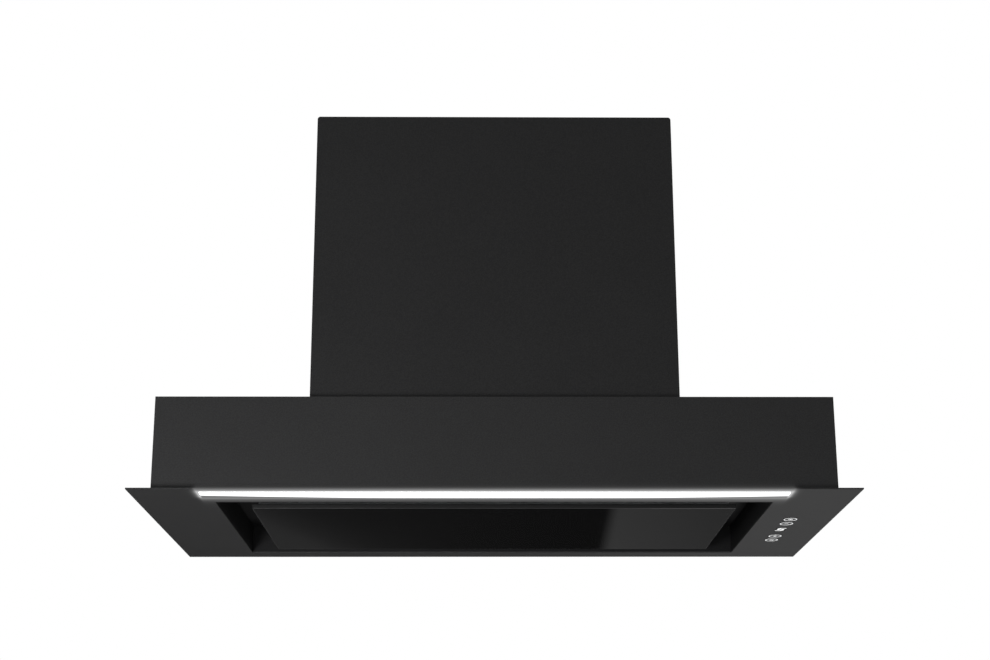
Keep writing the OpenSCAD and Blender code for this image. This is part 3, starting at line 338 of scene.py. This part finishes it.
def add_strand(start, end):
    """A flat strand of the expanded mesh, twisted a little out of its sheet as pressing leaves it."""
    along = (end - start).normalized()
    across = Vector((-along.y, along.x, 0.0)) * strand / 2
    lift = Vector((0, 0, strand_rise / 2))
    ring = [
        woven.verts.new(point + side * across + side * turn * lift * strand_twist + top * lift)
        for point, turn in ((start, 1), (end, -1))
        for side, top in ((-1, -1), (1, -1), (1, 1), (-1, 1))
    ]
    for a, b, c, d in ((0, 1, 5, 4), (1, 2, 6, 5), (2, 3, 7, 6), (3, 0, 4, 7), (3, 2, 1, 0), (4, 5, 6, 7)):
        woven.faces.new((ring[a], ring[b], ring[c], ring[d]))


def add_object(name, data):
    made = bpy.data.objects.new(name, data)
    bpy.context.scene.collection.objects.link(made)
    return made


def piece_from(built, name, finish):
    """Turns a built mesh into a piece of the scene, in its finish."""
    data = bpy.data.meshes.new(name)
    built.to_mesh(data)
    built.free()
    data.materials.append(finish.material)
    return add_object(name, data)


columns = int((mesh_high.x - mesh_low.x) / diamond_x)
rows = int((mesh_high.y - mesh_low.y) / diamond_y)
for layer, height in enumerate(layer_heights):
    shift = Vector((diamond_x * layer / 3, diamond_y * layer / 3, 0))
    for column in range(columns):
        for row in range(rows):
            corner = shift + Vector((
                mesh_low.x + column * diamond_x, mesh_low.y + row * diamond_y, mesh_mid.z + height,
            ))
            for sign in (-1, 1):
                start = corner + Vector((0, diamond_y / 2, 0))
                end = corner + Vector((diamond_x / 2, diamond_y / 2 + sign * diamond_y / 2, 0))
                far = corner + Vector((diamond_x, diamond_y / 2, 0))
                if far.x < mesh_high.x and corner.y + diamond_y < mesh_high.y:
                    add_strand(start, end)
                    add_strand(end, far)
filter_layers = piece_from(woven, "filter_layers", mesh_alloy)
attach(filter_layers, "filter")
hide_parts("filter_mesh")


# Leaf springs: two bowed strips of spring steel that stand between the cassette's rear face and its stops,
# and push it forward. They narrow towards their ends.
leaf_thick = 0.5 * MM
leaf_taper = 0.35
leaf_steps = 24
for side in ("left", "right"):
    leaf_low, leaf_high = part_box("filter_spring_" + side)
    leaf_mid = (leaf_low + leaf_high) / 2
    leaf_half = (leaf_high - leaf_low) / 2
    leaf = bmesh.new()
    bands = []
    for step in range(leaf_steps + 1):
        along = 2 * step / leaf_steps - 1
        front = leaf_low.y + (leaf_high.y - leaf_low.y - leaf_thick) * along ** 2
        tall = leaf_half.z * (1 - leaf_taper * along ** 2)
        bands.append([
            leaf.verts.new((leaf_mid.x + along * leaf_half.x, front + back, leaf_mid.z + up * tall))
            for back, up in ((0, -1), (0, 1), (leaf_thick, 1), (leaf_thick, -1))
        ])
    for a, b in zip(bands, bands[1:]):
        for i in range(4):
            j = (i + 1) % 4
            leaf.faces.new((a[i], a[j], b[j], b[i])).smooth = i % 2 == 0
    leaf.faces.new(bands[0])
    leaf.faces.new(bands[-1])
    bmesh.ops.recalc_face_normals(leaf, faces=leaf.faces)
    leaf_piece = piece_from(leaf, "leaf_" + side, steel)
    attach(leaf_piece, "hood")
    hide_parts("filter_spring_" + side)
    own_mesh(leaf_piece)


# Light strip: an opal bar that stands a little proud of its slot, lit from behind by a row of chips. Along
# its rear edge, towards both ends, the bar is painted dark grey and glows only faintly: painted shade.
fade_share = 1.1
fade_centre = 0.05
fade_soft = 1.0 * MM
opal = Finish("opal", Roughness=0.45, Emission_Strength=1.15)
opal_cloud = opal.noise(40)
opal_x, opal_y, _ = opal.axes(opal.place())
along_strip = (opal_x - strip_mid.x) * (1 / strip_half.x) - fade_centre
inside_edge = (strip_high.y + fade_soft) - opal_y - along_strip * along_strip * (strip_half.y * fade_share)
outside_painted_shade = opal.node("MapRange", values={"Value": inside_edge, "From Min": -fade_soft, "From Max": fade_soft})
opal_tone = opal.between(opal_cloud, (0.80, 0.80, 0.79), (0.86, 0.86, 0.85))
opal_light = opal.between(opal_cloud, (0.96, 0.98, 1.0), (1.0, 1.0, 1.0))
opal.feed(opal.shader, {
    # Painted shade: past the curved line the bar is dark grey and glows only faintly.
    "Base Color": opal.between(outside_painted_shade, (0.05, 0.05, 0.05), opal_tone),
    "Emission Color": opal.between(outside_painted_shade, (0.12, 0.12, 0.12), opal_light),
})
dress(opal, "led_diffuser", edge=0.3 * MM)


# White parts: the light's board, under the roof of the aluminium channel, has a white solder mask. The
# motor's capacitor is moulded white too.
white_board = Finish("white_board", Roughness=0.35)
white_board.feed(white_board.shader, {
    "Base Color": white_board.between(white_board.noise(300), (0.74, 0.74, 0.72), (0.84, 0.84, 0.82)),
})
dress(white_board, "led_board", "capacitor", edge=0.2 * MM)


# Light chips: a row of small squares of yellow phosphor on the board. They face the diffuser and give a
# white light.
phosphor = Finish("phosphor", Roughness=0.3, Emission_Strength=3.0)
phosphor_dot = phosphor.noise(900)
phosphor.feed(phosphor.shader, {
    "Base Color": phosphor.between(phosphor_dot, (0.85, 0.72, 0.18), (0.92, 0.86, 0.42)),
    "Emission Color": phosphor.between(phosphor_dot, (1.0, 0.93, 0.75), (1.0, 1.0, 0.95)),
})
dress(phosphor, "led_chips", edge=0.1 * MM)


# Grey plastic: the light's power supply, on the left wall, and the terminal box, on the housing's right wall.
# Moulded with a fine grain.
grey_plastic = Finish("grey_plastic", Specular_IOR_Level=0.4)
grey_grain = grey_plastic.noise(1200)
grey_plastic.feed(grey_plastic.shader, {
    "Base Color": grey_plastic.between(grey_plastic.noise(25), (0.50, 0.50, 0.48), (0.60, 0.60, 0.58)),
    "Roughness": 0.45 + grey_grain * 0.15,
})
grey_plastic.bump(grey_grain, depth=0.03 * MM, strength=0.5)
dress(grey_plastic, "led_driver", "terminal_box", edge=0.6 * MM)


# Push buttons: black caps in two pairs, each with a printed white ring and a lit sign: lamp, less, more and
# power. The marks are thin films on the underside of the cap, and move with it.
cap_finish = Finish("button_cap", Specular_IOR_Level=0.35)
cap_grain = cap_finish.noise(1400)
cap_finish.feed(cap_finish.shader, {
    "Base Color": cap_finish.between(cap_grain, (0.016, 0.016, 0.017), (0.026, 0.026, 0.027)),
    "Roughness": 0.46 + cap_grain * 0.12,
})
dress(cap_finish, "button_light", "button_slower", "button_faster", "button_power", edge=0.35 * MM)

print_white = Finish("print_white", Roughness=0.5, Emission_Strength=0.75)
print_cloud = print_white.noise(500)
print_white.feed(print_white.shader, {
    "Base Color": print_white.between(print_cloud, (0.70, 0.70, 0.70), (0.80, 0.80, 0.80)),
    "Emission Color": print_white.between(print_cloud, (0.92, 0.94, 0.94), (1.0, 1.0, 1.0)),
})
film = 0.06 * MM
film_sunk = film * 1.4
weld_films = 0.001 * MM
ring_radius = 5.9 * MM
ring_line = 0.9 * MM
sign_half = 1.75 * MM
sign_line = 1.3 * MM
thin_line = sign_line * 0.6
lamp_rays = 8


class Film:
    """Flat marks of one thickness on the underside of a piece, drawn about its middle."""

    def __init__(self, centre, level):
        self.centre = Vector((centre[0], centre[1], level - film))
        self.bm = bmesh.new()

    def slab(self, outline):
        low = [self.bm.verts.new(self.centre + Vector((x, y, 0))) for x, y in outline]
        high = [self.bm.verts.new(self.centre + Vector((x, y, film_sunk))) for x, y in outline]
        count = len(outline)
        self.bm.faces.new(low)
        self.bm.faces.new(list(reversed(high)))
        for i in range(count):
            j = (i + 1) % count
            self.bm.faces.new((low[j], low[i], high[i], high[j]))

    def bar(self, start, end, width):
        a, b = Vector(start), Vector(end)
        side = Vector((a.y - b.y, b.x - a.x)).normalized() * width / 2
        self.slab([a - side, b - side, b + side, a + side])

    def arc(self, radius, width, start=0.0, sweep=360.0, steps=48):
        turns = [math.radians(start + sweep * i / steps) for i in range(steps + 1)]
        for a, b in zip(turns, turns[1:]):
            inner, outer = radius - width, radius
            self.slab([
                (outer * math.cos(a), outer * math.sin(a)), (outer * math.cos(b), outer * math.sin(b)),
                (inner * math.cos(b), inner * math.sin(b)), (inner * math.cos(a), inner * math.sin(a)),
            ])

    def finish(self, name, body):
        """Joins slabs that touch, clears the faces left between them, and hands over the piece."""
        bmesh.ops.remove_doubles(self.bm, verts=self.bm.verts, dist=weld_films)
        inside = [face for face in self.bm.faces if all(len(edge.link_faces) > 2 for edge in face.edges)]
        bmesh.ops.delete(self.bm, geom=inside, context="FACES")
        bmesh.ops.recalc_face_normals(self.bm, faces=self.bm.faces)
        piece = piece_from(self.bm, name, print_white)
        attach(piece, body)


def draw_sign(marks, sign):
    """Draws one sign, its lengths as shares of half its width."""
    if sign in ("less", "more"):
        marks.bar((-sign_half, 0), (sign_half, 0), sign_line)
    if sign == "more":
        marks.bar((0, sign_line / 2), (0, sign_half), sign_line)
        marks.bar((0, -sign_half), (0, -sign_line / 2), sign_line)
    if sign == "power":
        marks.arc(sign_half * 1.1, thin_line, start=-50, sweep=280, steps=30)
        marks.bar((0, -sign_half * 1.35), (0, -sign_half * 0.2), thin_line)
    if sign == "light":
        marks.arc(sign_half * 0.62, sign_half * 0.6, steps=24)
        for turn in range(lamp_rays):
            angle = math.radians(360 / lamp_rays * turn)
            ray = Vector((math.cos(angle), math.sin(angle)))
            marks.bar(ray * sign_half * 0.85, ray * sign_half * 1.3, thin_line)


for sign in ("light", "slower", "faster", "power"):
    low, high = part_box("button_" + sign)
    marks = Film(((low.x + high.x) / 2, (low.y + high.y) / 2), low.z)
    marks.arc(ring_radius, ring_line)
    draw_sign(marks, {"slower": "less", "faster": "more"}.get(sign, sign))
    marks.finish("marks_" + sign, sign + "_button")


# Display: a smoked window flush with the flange, and behind it a one-digit display that shows the speed of
# the fan. The lit digit is drawn as seven-segment bars, slanted as such displays are.
lens = Finish("smoked_lens", Roughness=0.12, Specular_IOR_Level=0.45)
lens.feed(lens.shader, {
    "Base Color": lens.between(lens.noise(60), (0.014, 0.014, 0.015), (0.020, 0.020, 0.021)),
})
dress(lens, "display_lens", edge=0.15 * MM)

digit_w = 5.6 * MM
digit_h = 10.4 * MM
digit_line = 1.9 * MM
digit_slant = 0.28
lens_low, lens_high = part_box("display_lens")
digit = Film(((lens_low.x + lens_high.x) / 2, (lens_low.y + lens_high.y) / 2), lens_low.z)
for segment in (
    ((-1, 1), (1, 1)), ((1, 1), (1, 0)), ((1, 0), (-1, 0)), ((-1, 0), (-1, -1)), ((-1, -1), (1, -1)),
):
    points = [(x * digit_w / 2 - y * digit_slant * digit_h / 2, y * digit_h / 2) for x, y in segment]
    digit.bar(*points, digit_line)
digit.finish("speed_digit", "hood")


# Control electronics, all behind the flange: a green board on the carrier, and under it four tact switches
# with their plungers down to the button stems. The display module shines through the lens.
board_green = Finish("green_board", Roughness=0.3)
track = board_green.node("TexBrick", values={
    "Vector": board_green.place(), "Scale": 180, "Mortar Size": 0.03,
    "Color1": (0.012, 0.10, 0.035, 1), "Color2": (0.016, 0.13, 0.045, 1), "Mortar": (0.03, 0.20, 0.08, 1),
})
board_green.feed(board_green.shader, {"Base Color": track})
dress(board_green, "control_board", edge=0.1 * MM)

switch_black = Finish("switch_plastic", Roughness=0.3)
switch_black.feed(switch_black.shader, {
    "Base Color": switch_black.between(switch_black.noise(400), (0.03, 0.03, 0.03), (0.05, 0.05, 0.05)),
})
dress(switch_black, "tact_switches", "display_module", edge=0.15 * MM)


# Blower: a plastic scroll with its cover and a double-sided impeller. It hangs by its neck from the housing's
# top sheet.
blower_black = Finish("blower_plastic", Specular_IOR_Level=0.4)
blower_grain = blower_black.noise(600, detail=2)
blower_black.feed(blower_black.shader, {
    "Base Color": blower_black.between(blower_black.noise(12), (0.045, 0.045, 0.048), (0.070, 0.070, 0.074)),
    "Roughness": 0.42 + blower_grain * 0.16,
})
blower_black.bump(blower_grain, depth=0.04 * MM, strength=0.4)
dress(blower_black, "blower_scroll", "blower_cover", "impeller", edge=0.2 * MM)


# Motor: a capacitor motor with a cast body and end bell. A rubber ring holds it in its bracket. The leads
# inside the hood have sleeves of the same dull black.
cast = Finish("motor_cast", Metallic=1.0)
cast_grain = cast.noise(500, detail=3)
cast.feed(cast.shader, {
    "Base Color": cast.between(cast_grain, (0.34, 0.35, 0.36), (0.50, 0.51, 0.52)),
    "Roughness": 0.42 + cast_grain * 0.16,
})
cast.bump(cast_grain, depth=0.06 * MM, strength=0.5)
dress(cast, "fan_motor", edge=0.4 * MM)

rubber = Finish("rubber", Specular_IOR_Level=0.25)
rubber_grain = rubber.noise(900)
rubber.feed(rubber.shader, {
    "Base Color": rubber.between(rubber_grain, (0.014, 0.014, 0.014), (0.024, 0.024, 0.024)),
    "Roughness": 0.75 + rubber_grain * 0.15,
})
dress(rubber, "motor_rubber_ring", "leads", edge=0.2 * MM)


# Backdraught flaps: two thin plastic half discs in the duct collar. They hang on one pin across it, and fall
# shut when the fan stops.
flap_grey = Finish("flap_plastic", Specular_IOR_Level=0.4)
flap_grain = flap_grey.noise(900)
flap_grey.feed(flap_grey.shader, {
    "Base Color": flap_grey.between(flap_grey.noise(30), (0.055, 0.055, 0.056), (0.080, 0.080, 0.082)),
    "Roughness": 0.44 + flap_grain * 0.14,
})
flap_grey.bump(flap_grain, depth=0.03 * MM, strength=0.5)
dress(flap_grey, "flap_front", "flap_rear", edge=0.2 * MM)


# Studio ground: the hood hangs over a pale floor in front of a white ground. The camera, and whatever mirrors
# or bends light, sees that ground as white, while it lights the hood only a little.
world = bpy.data.worlds.new("studio")
bpy.context.scene.world = world
world.use_nodes = True
ambient = 0.08


class Ground(Finish):
    """A material or world that shows as white to the camera and in gloss, and is plain to all other light."""

    def __init__(self, tree):
        self.tree = tree

    def seen(self):
        path = self.node("LightPath", output="Is Camera Ray")
        gloss = Wire(self, path.socket.node.outputs["Is Glossy Ray"])
        through = Wire(self, path.socket.node.outputs["Is Transmission Ray"])
        return self.node("Math", {"operation": "MINIMUM"}, {0: path + gloss + through, 1: 1.0})


sky = Ground(world.node_tree)
sky_shader = world.node_tree.nodes["Background"]
sky.feed(sky_shader, {"Color": (1, 1, 1, 1), "Strength": sky.seen() * (1 - ambient) + ambient})

floor_level = -1.9
floor_reach = 12.0
floor_data = bpy.data.meshes.new("floor")
floor_data.from_pydata(
    [(x * floor_reach, y * floor_reach, floor_level) for x, y in ((-1, -1), (1, -1), (1, 1), (-1, 1))],
    [], [(0, 1, 2, 3)],
)
floor = add_object("floor", floor_data)
floor_finish = Finish("floor", Roughness=0.9, Specular_IOR_Level=0.1, Emission_Strength=1.0)
floor_seen = Ground(floor_finish.tree).seen()
floor_finish.feed(floor_finish.shader, {
    "Base Color": floor_finish.between(floor_finish.noise(3), (0.86, 0.86, 0.86), (0.88, 0.88, 0.88)),
    "Emission Color": floor_finish.between(floor_seen, (0, 0, 0), (0.58, 0.58, 0.58)),
})
floor_data.materials.append(floor_finish.material)


# Lamps: six soft boxes. One stands low in front, a small one low at the left, one high in front, one below
# and behind, and two light the back and the right side from above.
def soft_box(name, at, towards, size, watts):
    data = bpy.data.lights.new(name, "AREA")
    data.shape = "RECTANGLE"
    data.size, data.size_y = size
    data.energy = watts
    lamp = add_object(name, data)
    lamp.location = at
    lamp.rotation_euler = (Vector(towards) - Vector(at)).to_track_quat("-Z", "Y").to_euler()
    lamp.visible_camera = False


hood_foot = (0, 0, 0)
hood_middle = (0, 0, 0.1)
casing_left = (-0.25, -0.14, 0.03)
soft_box("front_box", at=(0, -3.0, -0.75), towards=hood_foot, size=(1.2, 0.5), watts=7.6)
soft_box("left_box", at=(-0.55, -0.8, -0.4), towards=casing_left, size=(0.3, 0.3), watts=5.05)
soft_box("high_box", at=(-1.2, -2.6, 1.2), towards=hood_middle, size=(1.4, 1.0), watts=2.6)
soft_box("rear_box", at=(0.55, 1.3, -0.9), towards=hood_middle, size=(0.6, 0.6), watts=1.55)
soft_box("back_box", at=(-1.8, 2.4, 1.4), towards=hood_middle, size=(1.6, 1.2), watts=13)
soft_box("side_box", at=(2.6, 0.9, 1.0), towards=hood_middle, size=(1.4, 1.2), watts=11)


# Black flags, as a photographer sets them: one behind the hood and below the view darkens what the glass
# mirrors, one in front and above darkens what the coated fronts mirror.
flag_reach = 3
flag_black = (0.05, 0.05, 0.05)


def standing_board(name, half_width, y, low, high, finish):
    """An upright board that the camera doesn't see and that throws no shadow."""
    data = bpy.data.meshes.new(name)
    data.from_pydata([
        (-half_width, y, low), (half_width, y, low), (half_width, y, high), (-half_width, y, high),
    ], [], [(0, 1, 2, 3)])
    data.materials.append(finish.material)
    board = add_object(name, data)
    board.visible_camera = False
    board.visible_shadow = False
    return board


def flag(name, y, low, high):
    finish = Finish(name, Roughness=0.9, Specular_IOR_Level=0.0)
    finish.feed(finish.shader, {"Base Color": finish.between(finish.noise(2), flag_black, flag_black)})
    board = standing_board(name, flag_reach, y, low, high, finish)


flag("rear_flag", y=2.2, low=-1.8, high=-0.15)
flag("front_flag", y=-3.4, low=0.0, high=3.0)


# A strip of card before the rear flag, which the glass mirrors. It glows with painted grey tones, so that the
# glass shows a painted reflection. Its lower left corner fades out along a slant, its middle is nearly black,
# and past a slanting edge it is pale again.
corner_x, corner_z = -0.466, -0.434
corner_lean, corner_fade = 2.1, 0.09
middle_from, middle_to = -0.2, 0.25
edge_x, edge_z = 0.300, -0.495
edge_lean, edge_soft, edge_fade = -0.25, 0.014, 0.25
card_finish = Finish("mirrored_card", Roughness=1.0, Specular_IOR_Level=0.0, Emission_Strength=1.0)
card_x, _, card_z = card_finish.axes(card_finish.place())
corner_way = card_x - corner_x - (card_z - corner_z) * corner_lean
corner = card_finish.node("Math", {"operation": "EXPONENT"}, {0: corner_way * (-1 / corner_fade)})
past_edge = card_x - edge_x - (card_z - edge_z) * edge_lean


def card_share(value, start, end):
    return card_finish.node("MapRange", values={"Value": value, "From Min": start, "From Max": end})


middle = card_share(card_x, middle_from, middle_to)
past = card_share(past_edge, -edge_soft, edge_soft)
right_fade = card_share(past_edge, 0.0, edge_fade)
middle_grey = card_finish.between(middle, (0.0172, 0.0172, 0.0172), (0.0106, 0.0106, 0.0106))
left_grey = card_finish.between(corner, middle_grey, (0.059, 0.059, 0.059))
right_grey = card_finish.between(right_fade, (0.093, 0.093, 0.093), (0.067, 0.067, 0.067))
card_painted_tone = card_finish.between(past, left_grey, right_grey)
card_finish.feed(card_finish.shader, {"Base Color": (0, 0, 0, 1), "Emission Color": card_painted_tone})
card = standing_board("mirrored_card", half_width=0.75, y=2.15, low=-0.62, high=-0.30, finish=card_finish)
card.visible_diffuse = False


# Camera: below the hood and in front of it, looking up, where the photograph was taken from. Its place, its
# turns and its focal length were worked out from the lines of the hood.
image_w = 990
image_h = 660
focal_px = 1578.8
axis_row = 440
camera_at = Vector((-14.3, -1393.8, -287.8)) * MM
yaw, pitch, roll = 0.0113, 0.2583, -0.0025
camera_data = bpy.data.cameras.new("camera")
camera_data.sensor_width = 36
camera_data.lens = camera_data.sensor_width * focal_px / image_w
camera_data.shift_y = (axis_row - image_h / 2) / image_w
camera_data.clip_end = 100
camera = add_object("camera", camera_data)
turn_x = Matrix.Rotation(math.pi / 2 + pitch, 4, "X")
turned = Matrix.Rotation(-yaw, 4, "Z") @ turn_x @ Matrix.Rotation(roll, 4, "Z")
camera.matrix_world = Matrix.Translation(camera_at) @ turned
bpy.context.scene.camera = camera
bpy.context.scene.view_settings.view_transform = "Standard"
